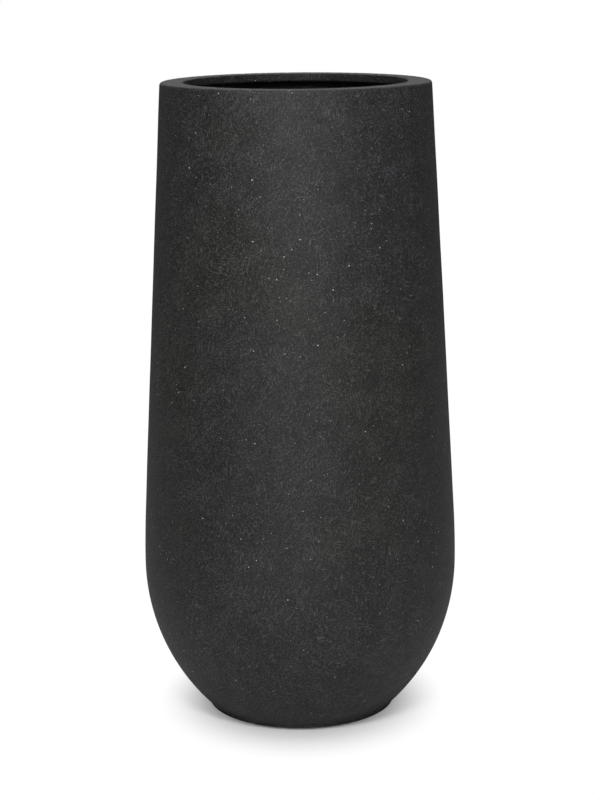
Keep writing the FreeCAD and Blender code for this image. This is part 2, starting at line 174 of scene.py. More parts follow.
class Shader(NodeTree):
    """One material and its node tree."""

    def __init__(self, name: str) -> None:
        """Make a material with an output and a Principled shader.

        Args:
            name: The material's name.
        """
        self.material = bpy.data.materials.new(name)
        self.material.use_nodes = True
        super().__init__(self.material.node_tree)
        self.surface = self.node("ShaderNodeBsdfPrincipled")
        self.output = self.node("ShaderNodeOutputMaterial", {"Surface": self.surface.outputs[0]})
        self.place = self.node("ShaderNodeTexCoord").outputs["Object"]

    def vector(self, operation: str, *values: object) -> bpy.types.NodeSocket:
        """Run a Vector Math node.

        Args:
            operation: The Vector Math node's operation.
            values: Vectors or vector sockets.

        Returns:
            The node's vector.
        """
        node = self.node("ShaderNodeVectorMath", dict(enumerate(values)), operation=operation)
        return node.outputs["Vector"]

    def height(self) -> Signal:
        """Height above the floor, in metres."""
        return Signal(self, self.node("ShaderNodeSeparateXYZ", {0: self.place}).outputs["Z"])

    def shifted(self, offset: Sequence[float]) -> bpy.types.NodeSocket:
        """The object's coordinates moved by an offset, so that two patterns don't coincide."""
        return self.vector("ADD", self.place, offset)

    def swirled(self, reach: float, scale: float) -> bpy.types.NodeSocket:
        """The object's coordinates pushed about by soft noise.

        Args:
            reach: How far a place is pushed, in metres.
            scale: Swirls per metre.

        Returns:
            The pushed coordinates.
        """
        push = self.node("ShaderNodeTexNoise",
                         {"Vector": self.place, "Scale": scale, "Detail": 1.0})
        centred = self.vector("SUBTRACT", push.outputs["Color"], (0.5,) * 3)
        return self.vector("ADD", self.vector("MULTIPLY", centred, (2 * reach,) * 3), self.place)

    def strokes(self, place: bpy.types.NodeSocket, turn: Sequence[float],
                size: Sequence[float], offset: Sequence[float]) -> Signal:
        """Noise drawn out in one direction.

        Args:
            place: The coordinates.
            turn: The direction, as a rotation in radians.
            size: The noise's cell along each turned axis, in metres.
            offset: Shift of the pattern, in metres.

        Returns:
            The noise, from 0 to 1 about a mean of 0.5.
        """
        drawn = self.node("ShaderNodeMapping", {"Vector": place, "Location": offset,
                                                "Rotation": turn, "Scale": size},
                          vector_type="TEXTURE")
        node = self.node("ShaderNodeTexNoise", {"Vector": drawn.outputs["Vector"],
                                                "Scale": 1.0, "Detail": 1.0,
                                                "Roughness": 0.6})
        return Signal(self, node.outputs["Fac"])

    def cloud(self, pattern: "Cloud") -> Signal:
        """Soft noise.

        Args:
            pattern: The noise's size and place.

        Returns:
            The noise, from 0 to 1 about a mean of 0.5.
        """
        node = self.node(
            "ShaderNodeTexNoise",
            {"Vector": self.shifted(pattern.offset), "Scale": pattern.scale,
             "Detail": pattern.detail, "Roughness": pattern.roughness,
             "Distortion": pattern.distortion})
        return Signal(self, node.outputs["Fac"])

    def cells(self, scale: float, offset: Sequence[float]) -> tuple[Signal, Signal]:
        """Random cells.

        Args:
            scale: Cells per metre.
            offset: Shift of the pattern, in metres.

        Returns:
            The distance to the cell's point, and a random number for each cell.
        """
        node = self.node("ShaderNodeTexVoronoi",
                         {"Vector": self.shifted(offset), "Scale": scale}, feature="F1")
        parts = self.node("ShaderNodeSeparateColor", {0: node.outputs["Color"]})
        return Signal(self, node.outputs["Distance"]), Signal(self, parts.outputs[0])

    def blend(self, amount: Signal | float, low: Sequence[float] | bpy.types.NodeSocket,
              high: Sequence[float] | bpy.types.NodeSocket,
              way: str = "MIX") -> bpy.types.NodeSocket:
        """Mix two colours.

        Args:
            amount: 0 for the first colour, 1 for the second.
            low: The first colour.
            high: The second colour.
            way: The Mix node's way of blending.

        Returns:
            The mixed colour.
        """
        node = self.node("ShaderNodeMix", {0: amount, 6: low, 7: high}, data_type="RGBA",
                         blend_type=way)
        return node.outputs[2]

    def relief(self, height: Signal, depth: float) -> bpy.types.NodeSocket:
        """Turn a height signal into a bumped normal.

        Args:
            height: The height, about 0 to 1.
            depth: What 1 stands for, in metres.

        Returns:
            The normal.
        """
        values = {"Height": height, "Distance": depth, "Strength": 1.0}
        return self.node("ShaderNodeBump", values).outputs["Normal"]

    def finish(self, **inputs: object) -> bpy.types.Material:
        """Feed the surface's sockets, named with _ for a space.

        Args:
            inputs: Values, sockets or signals.

        Returns:
            The material.
        """
        for key, value in inputs.items():
            self.feed(self.surface.inputs[key.replace("_", " ")], value)
        return self.material


def highest(signals: Sequence[Signal]) -> Signal:
    """Take the highest of several signals at each place.

    Args:
        signals: The signals.

    Returns:
        The highest.
    """
    top, *others = signals
    for other in others:
        top = top.maths("MAXIMUM", other)
    return top


# ---------------------------------------------------------------- finishes


@dataclass(frozen=True)
class Cloud:
    """Soft noise of one size."""

    scale: float                            # cells per metre
    detail: float                           # how many finer octaves are added
    offset: tuple[float, float, float]      # where the pattern starts, in metres
    roughness: float = 0.5                  # weight of the finer octaves
    distortion: float = 0.0                 # how far the pattern is swirled


@dataclass(frozen=True)
class Grains:
    """Mineral grains of one size, scattered over a grid of random cells."""

    scale: float                            # cells per metre
    size: float                             # radius, in cells
    rare: float                             # share of the cells that stay empty
    offset: tuple[float, float, float]      # where the pattern starts, in metres
    edge: float = 0.55                      # share of the radius that is full


@dataclass(frozen=True)
class CoatedLaminate:
    """Matt charcoal coat over filled laminate: short brushed strokes, hairs and specks."""

    pit: tuple = (0.0022, 0.0022, 0.0022, 1)
    body: tuple = (0.0160, 0.0160, 0.0160, 1)
    crest: tuple = (0.070, 0.070, 0.070, 1)
    cool: tuple = (0.975, 0.99, 1.06, 1)
    warm: tuple = (1.03, 1.01, 0.95, 1)
    hair: tuple = (0.16, 0.16, 0.16, 1)
    speck: tuple = (0.80, 0.80, 0.78, 1)
    roughness: float = 0.57
    mottle: Cloud = Cloud(26.0, 4.0, (2.0, 5.0, 8.0), 0.6)
    mottle_roughness: float = 0.12
    grain: Cloud = Cloud(520.0, 2.0, (8.0, 1.0, 3.0), 0.7)
    specular: float = 0.40
    nap_weight: float = 0.60                # how much each pattern counts in the coat's tone
    grain_weight: float = 0.40
    mottle_weight: float = 0.20
    pit_tones: tuple = (0.34, 0.52)         # tones over which the coat goes from pit to body
    crest_tones: tuple = (0.50, 0.68)       # and from body to crest
    swirl_reach: float = 16 * MM
    swirl_scale: float = 15.0
    hair_swirl: float = 1.6                 # hairs swirl this much finer than strokes
    stroke_width: float = 1.5 * MM
    stroke_length: float = 10 * MM
    lean: tuple = (0, 62, -58, 95)          # degrees that each family of strokes leans by
    round_turn: float = 40                  # degrees between the families about the upright
    patch_scale: float = 24.0               # patches per metre in which a family lies on top
    patch_step: float = 5.0                 # and how many more for each next family
    patch_edge: tuple = (0.47, 0.55)
    hair_width: float = 1.7 * MM
    hair_length: float = 22 * MM
    hair_lean: tuple = (35, -70)
    hair_tips: tuple = (0.63, 0.72)         # only the highest strokes of the noise are hairs
    hair_cover: float = 0.34
    hair_relief: float = 0.2
    speck_relief: float = 0.3
    relief: float = 0.9 * MM
    drift: Cloud = Cloud(4.0, 2.0, (9.0, 4.0, 1.0))     # drifts between cool and warm
    drift_edge: tuple = (0.40, 0.60)
    cool_below: float = 60 * MM
    mixed_above: float = 330 * MM
    sizes: tuple = (Grains(95.0, 0.095, 0.62, (1.3, 2.9, 4.1)),
                    Grains(210.0, 0.12, 0.80, (6.1, 0.7, 2.2)))

    def brushed(self, shader: Shader) -> Signal:
        """Short strokes that run one way within a patch and turn from patch to patch.

        Args:
            shader: The material's tree.

        Returns:
            The strokes' height, from 0 to 1.
        """
        place = shader.swirled(self.swirl_reach, self.swirl_scale)
        size = (self.stroke_width, self.stroke_width, self.stroke_length)
        nap = None
        for number, lean in enumerate(self.lean):
            turn = (0, math.radians(lean), math.radians(self.round_turn * number))
            strokes = shader.strokes(place, turn, size, (number, 2 * number, 0.5 * number))
            if nap is None:
                nap = strokes
            else:
                scale = self.patch_scale + self.patch_step * number
                patch = shader.cloud(Cloud(scale, 1.0, (number, 3, 7)))
                nap = nap + (strokes - nap) * patch.rises(*self.patch_edge)
        return nap

    def hairs(self, shader: Shader) -> Signal:
        """Single pale hairs, lying apart from each other.

        Args:
            shader: The material's tree.

        Returns:
            1 on a hair, 0 between hairs.
        """
        place = shader.swirled(self.swirl_reach, self.swirl_scale * self.hair_swirl)
        size = (self.hair_width, self.hair_width, self.hair_length)
        families = []
        for number, lean in enumerate(self.hair_lean):
            turn = (0, math.radians(lean), math.radians(self.round_turn * number))
            strokes = shader.strokes(place, turn, size, (3 * number, number, 5))
            families.append(strokes.rises(*self.hair_tips))
        return highest(families)

    def specks(self, shader: Shader) -> Signal:
        """Sparse mineral grains of a millimetre or less.

        Args:
            shader: The material's tree.

        Returns:
            1 in a grain.
        """
        layers = []
        for grains in self.sizes:
            distance, chance = shader.cells(grains.scale, grains.offset)
            spot = distance.rises(grains.size, grains.size * grains.edge)
            layers.append(spot * chance.rises(grains.rare, 1.0))
        return highest(layers)

    def build(self) -> bpy.types.Material:
        """Make the material.

        Returns:
            The material.
        """
        shader = Shader("coated_laminate")
        nap = self.brushed(shader)
        hairs = self.hairs(shader)
        specks = self.specks(shader)
        mottle = shader.cloud(self.mottle)
        fine = nap * self.nap_weight + shader.cloud(self.grain) * self.grain_weight
        tone = fine + (mottle - 0.5) * self.mottle_weight
        colour = shader.blend(tone.rises(*self.pit_tones), self.pit, self.body)
        colour = shader.blend(tone.rises(*self.crest_tones), colour, self.crest)
        colour = shader.blend(hairs * self.hair_cover, colour, self.hair)
        drift = shader.cloud(self.drift).rises(*self.drift_edge)
        drift = drift * shader.height().rises(self.cool_below, self.mixed_above)
        colour = shader.blend(1.0, colour, shader.blend(drift, self.cool, self.warm),
                              "MULTIPLY")
        colour = shader.blend(specks, colour, self.speck)
        height = fine + hairs * self.hair_relief + specks * self.speck_relief
        return shader.finish(
            Base_Color=colour, Roughness=self.roughness + (mottle - 0.5) * self.mottle_roughness,
            Specular_IOR_Level=self.specular, Normal=shader.relief(height, self.relief))


@dataclass(frozen=True)
class RawLaminate:
    """Black pigmented resin over chopped glass strands, as it is left inside."""

    resin: tuple = (0.010, 0.010, 0.011, 1)
    strand: tuple = (0.030, 0.030, 0.032, 1)
    strand_cover: float = 0.8
    strand_relief: float = 0.5
    strand_edge: tuple = (0.035, 0.012)
    layers: tuple = (Cloud(38.0, 0.0, (1.0, 6.0, 2.0), 0.4, 0.2),
                     Cloud(52.0, 0.0, (4.0, 2.0, 7.0), 0.4, 0.2),
                     Cloud(66.0, 0.0, (8.0, 3.0, 5.0), 0.4, 0.2))
    pool: Cloud = Cloud(14.0, 3.0, (3.0, 3.0, 3.0))
    pool_edge: tuple = (0.4, 0.6)
    roughness: float = 0.42
    pool_roughness: float = 0.15
    relief: float = 0.6 * MM

    def build(self) -> bpy.types.Material:
        """Make the material.

        Returns:
            The material.
        """
        shader = Shader("raw_laminate")
        strands = highest([abs(shader.cloud(layer) - 0.5).rises(*self.strand_edge)
                           for layer in self.layers])
        pool = shader.cloud(self.pool)
        return shader.finish(
            Base_Color=shader.blend(strands * self.strand_cover, self.resin, self.strand),
            Roughness=self.roughness + pool.rises(*self.pool_edge) * self.pool_roughness,
            Normal=shader.relief(strands * self.strand_relief + pool, self.relief))


@dataclass(frozen=True)
class MouldedPlastic:
    """Black moulded plastic with a fine spark texture and faint flow marks."""

    dark: tuple = (0.012, 0.012, 0.0125, 1)
    light: tuple = (0.021, 0.021, 0.022, 1)
    flow: Cloud = Cloud(11.0, 3.0, (6.0, 0.0, 1.0), 0.55, 0.6)
    flow_edge: tuple = (0.35, 0.65)
    flow_roughness: float = 0.1
    dust_colour: tuple = (0.09, 0.088, 0.084, 1)
    dust: Cloud = Cloud(60.0, 5.0, (2.0, 2.0, 8.0), 0.7)
    dust_edge: tuple = (0.55, 0.75)
    dust_cover: float = 0.12
    roughness: float = 0.46
    spark: Cloud = Cloud(900.0, 2.0, (0.0, 4.0, 2.0), 0.6)
    relief: float = 0.12 * MM

    def build(self) -> bpy.types.Material:
        """Make the material.

        Returns:
            The material.
        """
        shader = Shader("moulded_plastic")
        flow = shader.cloud(self.flow)
        dust = shader.cloud(self.dust).rises(*self.dust_edge) * self.dust_cover
        colour = shader.blend(flow.rises(*self.flow_edge), self.dark, self.light)
        return shader.finish(
            Base_Color=shader.blend(dust, colour, self.dust_colour),
            Roughness=self.roughness + flow * self.flow_roughness + dust,
            Normal=shader.relief(shader.cloud(self.spark), self.relief))


@dataclass(frozen=True)
class RubbedBlack:
    """A black surface that is paler and duller in soft patches, over a fine texture."""

    name: str
    dark: tuple
    pale: tuple
    patches: Cloud
    patch_edge: tuple
    patch_cover: float
    patch_roughness: float
    roughness: float
    texture: Cloud
    relief: float

    def build(self) -> bpy.types.Material:
        """Make the material.

        Returns:
            The material.
        """
        shader = Shader(self.name)
        patches = shader.cloud(self.patches).rises(*self.patch_edge)
        return shader.finish(
            Base_Color=shader.blend(patches * self.patch_cover, self.dark, self.pale),
            Roughness=self.roughness + patches * self.patch_roughness,
            Normal=shader.relief(shader.cloud(self.texture), self.relief))


@dataclass(frozen=True)
class Rubber(RubbedBlack):
    """Plain black rubber with a dusty bloom."""

    name: str = "rubber"
    dark: tuple = (0.013, 0.013, 0.013, 1)
    pale: tuple = (0.040, 0.039, 0.038, 1)
    patches: Cloud = Cloud(85.0, 4.0, (1.0, 1.0, 7.0), 0.65)
    patch_edge: tuple = (0.42, 0.72)
    patch_cover: float = 0.5
    patch_roughness: float = 0.1
    roughness: float = 0.78
    texture: Cloud = Cloud(1400.0, 1.0, (3.0, 5.0, 7.0))
    relief: float = 0.08 * MM


@dataclass(frozen=True)
class CoatedWire(RubbedBlack):
    """Steel wire in a thin black coat, rubbed where the hand and the ears touch it."""

    name: str = "coated_wire"
    dark: tuple = (0.016, 0.016, 0.017, 1)
    pale: tuple = (0.055, 0.054, 0.052, 1)
    patches: Cloud = Cloud(120.0, 4.0, (5.0, 5.0, 1.0), 0.7)
    patch_edge: tuple = (0.54, 0.70)
    patch_cover: float = 0.6
    patch_roughness: float = 0.2
    roughness: float = 0.36
    texture: Cloud = Cloud(420.0, 2.0, (2.0, 7.0, 4.0))
    relief: float = 0.10 * MM


class Finish(Enum):
    """The finishes that pieces are given, by name."""

    COAT = CoatedLaminate()
    RAW = RawLaminate()
    PLASTIC = MouldedPlastic()
    RUBBER = Rubber()
    WIRE = CoatedWire()

    def material(self) -> bpy.types.Material:
        """Make the finish's material, once.

        Returns:
            The material.
        """
        if self not in MADE:
            MADE[self] = self.value.build()
        return MADE[self]


MADE: dict[Finish, bpy.types.Material] = {}


# ---------------------------------------------------------------- shapes


@dataclass
class Outline:
    """A path of (radius, height) points that is turned about the upright axis."""

    points: list[tuple[float, float]] = field(default_factory=list)

    def at(self, radius: float, height: float) -> "Outline":
        """Add a point."""
        self.points.append((radius, height))
        return self

    def line(self, radius: float, height: float, pieces: int) -> "Outline":
        """Go straight to a point in equal pieces.

        Args:
            radius: The point's radius.
            height: The point's height.
            pieces: How many pieces the line is cut into.

        Returns:
            The outline.
        """
        start_radius, start_height = self.points[-1]
        for step in range(1, pieces + 1):
            share = step / pieces
            self.at(start_radius + (radius - start_radius) * share,
                    start_height + (height - start_height) * share)
        return self

    def arc(self, centre: tuple[float, float], size: float, start: float, end: float,
            pieces: int, first: bool = False) -> "Outline":
        """Follow a circle.

        Args:
            centre: The circle's centre.
            size: The circle's radius.
            start: The first angle from the outward direction, anticlockwise, in radians.
            end: The last angle.
            pieces: How many pieces the arc is cut into.
            first: Whether the first point is added too, and not there already.

        Returns:
            The outline.
        """
        for step in range(0 if first else 1, pieces + 1):
            angle = start + (end - start) * step / pieces
            self.at(centre[0] + size * math.cos(angle), centre[1] + size * math.sin(angle))
        return self


def make_object(name: str, bm: bmesh.types.BMesh) -> bpy.types.Object:
    """Close a bmesh into a linked object with outward normals and crisp corners.

    Args:
        name: The piece's name.
        bm: The shape, which is freed.

    Returns:
        The object.
    """
    bmesh.ops.remove_doubles(bm, verts=bm.verts, dist=MERGE)
    bmesh.ops.recalc_face_normals(bm, faces=bm.faces)
    for face in bm.faces:
        face.smooth = True
    mesh = bpy.data.meshes.new(name)
    bm.to_mesh(mesh)
    bm.free()
    mesh.set_sharp_from_angle(angle=SHARP_ANGLE)
    piece = bpy.data.objects.new(name, mesh)
    bpy.context.scene.collection.objects.link(piece)
    return piece


def turned(outline: Outline, steps: int, closed: bool = True) -> bmesh.types.BMesh:
    """Spin an outline about the upright axis.

    Args:
        outline: The path.
        steps: How many steps make the full turn.
        closed: Whether the last point is joined to the first.

    Returns:
        The shape.
    """
    bm = bmesh.new()
    verts = [bm.verts.new((radius, 0, height)) for radius, height in outline.points]
    pairs = list(zip(verts, verts[1:]))
    if closed:
        pairs.append((verts[-1], verts[0]))
    edges = [bm.edges.new(pair) for pair in pairs]
    bmesh.ops.spin(bm, geom=verts + edges, axis=UP, cent=(0, 0, 0), angle=FULL_TURN,
                   steps=steps, use_merge=True)
    return bm


def dress(piece: bpy.types.Object, finishes: Iterable[Finish],
          choose: Callable[[bpy.types.MeshPolygon], int] | None = None) -> None:
    """Give a piece its materials.

    Args:
        piece: The object.
        finishes: One finish for each material slot.
        choose: The slot's number for a face; the first slot if left out.
    """
    piece.data.materials.clear()
    for finish in finishes:
        piece.data.materials.append(finish.material())
    if choose:
        for face in piece.data.polygons:
            face.material_index = choose(face)


def declare(piece: bpy.types.Object, body: str, slot: str, *nodes: str) -> None:
    """Attach a piece to the body that it moves with, and hide the nodes that it stands for.

    Args:
        piece: The object.
        body: The body that it moves with.
        slot: The record's material slot; not used.
        nodes: The nodes that it replaces.
    """
    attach(piece, body)
    if nodes:
        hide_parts(*nodes)
    log.info("%s: %d faces on %s", piece.name, len(piece.data.polygons), body)


# ---------------------------------------------------------------- the vessel


@dataclass
class Vessel:
    """The coated shell: barrel, bowl and turned-in rim, each its own piece."""

    height: float = 900 * MM
    rim_radius: float = 188.5 * MM
    belly_radius: float = 224 * MM
    belly_height: float = 215 * MM
    shoulder_arc: float = 1558 * MM
    bowl_arc: float = 289 * MM
    wall: float = 6 * MM
    foot_under: float = 2 * MM
    foot_riser: float = 4 * MM
    foot_round: float = 1.5 * MM
    foot_ring: float = 34 * MM
    foot_recess: float = 4 * MM
    floor: float = 8 * MM
    drain_hole: float = 13.8 * MM
    mouth_radius: float = 156 * MM
    mouth_round: float = 1 * MM
    rim_thickness: float = 6 * MM
    rim_round: float = 4 * MM
    lip_depth: float = 12 * MM
    lip_wall: float = 6 * MM
    bond: float = 0.3 * MM
    spigot_depth: float = 16 * MM
    spigot_wall: float = 4 * MM
    steps: int = 256
    rim_steps: int = 512
    hair_ring: float = 0.3 * MM      # a last narrow ring keeps the shading true at a joint
    swell: float = 0.35 * MM
    swell_width: float = 90 * MM
    chip_depth: float = 0.35 * MM
    chip_widths: tuple[float, float] = (7 * MM, 2.6 * MM)

    def __post_init__(self) -> None:
        """Work out the flank, a tangent from the rim to the shoulder's circle."""
        self.shoulder_centre = self.belly_radius - self.shoulder_arc
        across = self.rim_radius - self.shoulder_centre
        rise = self.height - self.belly_height
        self.taper = (math.atan2(rise, across)
                      - math.acos(self.shoulder_arc / math.hypot(across, rise)))
        self.rim_under = self.height - self.rim_thickness
        self.foot_top = self.foot_under + self.foot_riser

    def flank(self, height: float, depth: float = 0.0) -> float:
        """Radius of the straight flank at a height, depth inside the surface."""
        return (self.shoulder_centre + (self.shoulder_arc - depth) / math.cos(self.taper)
                - (height - self.belly_height) * math.tan(self.taper))

    def bowl(self, height: float) -> float:
        """Radius of the bowl at a height."""
        drop = self.belly_height - height
        return self.belly_radius - self.bowl_arc + math.sqrt(self.bowl_arc ** 2 - drop ** 2)

    def barrel(self) -> Outline:
        """The shell from the widest girth to the rim.

        Returns:
            Its outline.
        """
        belly = (self.shoulder_centre, self.belly_height)
        nick = self.hair_ring / self.shoulder_arc
        outline = Outline().at(self.belly_radius, self.belly_height)
        outline.arc(belly, self.shoulder_arc, nick, self.taper, pieces=12, first=True)
        outline.line(self.flank(self.rim_under - self.hair_ring),
                     self.rim_under - self.hair_ring, pieces=60)
        outline.at(self.flank(self.rim_under), self.rim_under)
        outline.at(self.flank(self.rim_under, self.wall), self.rim_under)
        inner = self.shoulder_arc - self.wall
        outline.line(belly[0] + inner * math.cos(self.taper),
                     belly[1] + inner * math.sin(self.taper), pieces=8)
        outline.arc(belly, inner, self.taper, 0, pieces=6)
        return outline

    def lower(self) -> Outline:
        """The bowl with its foot.

        Returns:
            Its outline.
        """
        centre = (self.belly_radius - self.bowl_arc, self.belly_height)
        foot = self.bowl(self.foot_top)
        ring_inner = foot - self.foot_ring
        floor_under = self.foot_under + self.foot_recess
        floor_top = floor_under + self.floor
        foot_angle = -math.asin((self.belly_height - self.foot_top) / self.bowl_arc)
        inner = self.bowl_arc - self.wall
        floor_angle = -math.asin((self.belly_height - floor_top) / inner)
        outline = Outline().at(self.drain_hole, floor_under)
        outline.line(ring_inner, floor_under, pieces=10)
        outline.at(ring_inner, self.foot_under + self.foot_round)
        outline.arc((ring_inner + self.foot_round, self.foot_under + self.foot_round),
                    self.foot_round, math.pi, 1.5 * math.pi, ROUND)
        outline.arc((foot - self.foot_round, self.foot_under + self.foot_round),
                    self.foot_round, 1.5 * math.pi, FULL_TURN, ROUND, first=True)
        outline.at(foot, self.foot_top)
        outline.arc(centre, self.bowl_arc, foot_angle, -self.hair_ring / self.bowl_arc, pieces=40)
        outline.at(self.belly_radius, self.belly_height)
        outline.at(self.belly_radius - self.wall, self.belly_height)
        outline.arc(centre, inner, 0, floor_angle, pieces=24)
        outline.line(self.drain_hole, floor_top, pieces=6)
        return outline

    def rim(self) -> Outline:
        """The turned-in rim with its lip and spigot.

        Returns:
            Its outline.
        """
        lip_outer = self.mouth_radius + self.lip_wall
        lip_foot = self.height - self.lip_depth
        spigot_outer = self.flank(self.rim_under, self.wall + self.bond)
        spigot_inner = spigot_outer - self.spigot_wall
        spigot_foot = self.rim_under - self.spigot_depth
        edge_low = self.height - self.rim_round
        edge_centre = (self.flank(edge_low) - self.rim_round, edge_low)
        mouth_centre = (self.mouth_radius + self.mouth_round, self.height - self.mouth_round)
        lip_centre = (self.mouth_radius + self.lip_wall / 2, lip_foot + self.lip_wall / 2)
        outline = Outline().at(self.flank(self.rim_under), self.rim_under)
        outline.at(self.flank(self.rim_under + self.hair_ring),
                   self.rim_under + self.hair_ring)
        outline.arc(edge_centre, self.rim_round, 0, QUARTER, CURVE, first=True)
        outline.line(mouth_centre[0], self.height, pieces=12)
        outline.arc(mouth_centre, self.mouth_round, QUARTER, math.pi, ROUND)
        outline.line(self.mouth_radius, lip_centre[1], pieces=4)
        outline.arc(lip_centre, self.lip_wall / 2, math.pi, FULL_TURN, CURVE)
        outline.at(lip_outer, self.rim_under)
        outline.at(spigot_inner, self.rim_under)
        outline.at(spigot_inner, spigot_foot)
        outline.at(spigot_outer, spigot_foot)
        outline.at(spigot_outer, self.rim_under)
        return outline

    def inside(self, face: bpy.types.MeshPolygon) -> int:
        """Tell the bare laminate inside from the coated outside.

        Args:
            face: A face of one of the three shells.

        Returns:
            1 for a face that only shows inside the planter, and 0 for any other.
        """
        radius = math.hypot(face.center.x, face.center.y)
        height = face.center.z
        if height > self.height - self.lip_depth - self.spigot_depth:
            behind_lip = radius > self.mouth_radius + self.lip_wall / 2 + self.bond
            return int(behind_lip and height < self.rim_under + self.bond
                       and radius < self.flank(height) - self.bond)
        if height > self.belly_height:
            return int(radius < self.flank(height) - self.wall / 2)
        inner_floor = self.foot_under + self.foot_recess + self.floor / 2
        return int(height > inner_floor and radius < self.bowl(height) - self.wall / 2)

    def soften(self, bm: bmesh.types.BMesh) -> None:
        """Give a shell the faint swells of hand finishing, above the foot.

        Args:
            bm: The shell.
        """
        for vert in bm.verts:
            if vert.co.z > self.foot_top + self.foot_riser:
                outwards = Vector((vert.co.x, vert.co.y, 0)).normalized()
                vert.co += outwards * (noise.noise(vert.co / self.swell_width) * self.swell)

    def chip_edges(self, bm: bmesh.types.BMesh) -> None:
        """Make the rim's two upper edges slightly ragged.

        Args:
            bm: A shell; one that ends below the rim's round is left as it is.
        """
        for vert in bm.verts:
            if vert.co.z < self.height - self.rim_round:
                continue
            radius = math.hypot(vert.co.x, vert.co.y)
            near_edge = min(abs(radius - self.mouth_radius),
                            abs(radius - self.rim_radius)) < self.rim_round
            if near_edge:
                ripple = sum(noise.noise(vert.co / width) for width in self.chip_widths)
                vert.co.z -= ripple ** 2 * self.chip_depth

    def build(self) -> None:
        """Make the three shells."""
        for node, outline, steps in (("lower_shell", self.lower(), self.steps),
                                     ("upper_shell", self.barrel(), self.steps),
                                     ("rim_ring", self.rim(), self.rim_steps)):
            bm = turned(outline, steps)
            self.soften(bm)
            self.chip_edges(bm)
            piece = make_object(f"{node}_coated", bm)
            dress(piece, (Finish.COAT, Finish.RAW), self.inside)
            declare(piece, "planter", "laminate", node)


# ---------------------------------------------------------------- what is inside


def cut(bm: bmesh.types.BMesh, cutters: bmesh.types.BMesh) -> bmesh.types.BMesh:
    """Cut one closed shape out of another.

    Args:
        bm: The shape that is cut, which is freed.
        cutters: What is taken away, which is freed.

    Returns:
        What is left.
    """
    target = make_object("cut_target", bm)
    tool = make_object("cut_tool", cutters)
    modifier = target.modifiers.new("cut", "BOOLEAN")
    modifier.object = tool
    modifier.operation = "DIFFERENCE"
    modifier.solver = "EXACT"
    view = bpy.context.evaluated_depsgraph_get()
    left = bmesh.new()
    left.from_object(target, view)
    for item in (target, tool):
        mesh = item.data
        bpy.data.objects.remove(item)
        bpy.data.meshes.remove(mesh)
    return left


def add_copy(bm: bmesh.types.BMesh, part: bmesh.types.BMesh) -> None:
    """Add a shape to another.

    Args:
        bm: The shape that grows.
        part: The shape that is added, which is freed.
    """
    mesh = bpy.data.meshes.new("part")
    part.to_mesh(mesh)
    part.free()
    bm.from_mesh(mesh)
    bpy.data.meshes.remove(mesh)


def round_edges(bm: bmesh.types.BMesh, edges: list[bmesh.types.BMEdge], offset: float,
                segments: int) -> None:
    """Round some edges of a shape."""
    bmesh.ops.bevel(bm, geom=edges, offset=offset, segments=segments, profile=0.5,
                    affect="EDGES", material=-1)


def peg(bm: bmesh.types.BMesh, place: Matrix, radius: float, length: float) -> None:
    """Add a round peg along the placed Z axis, centred on the place."""
    bmesh.ops.create_cone(bm, cap_ends=True, segments=PEG_SIDES, radius1=radius,
                          radius2=radius, depth=length, matrix=place)


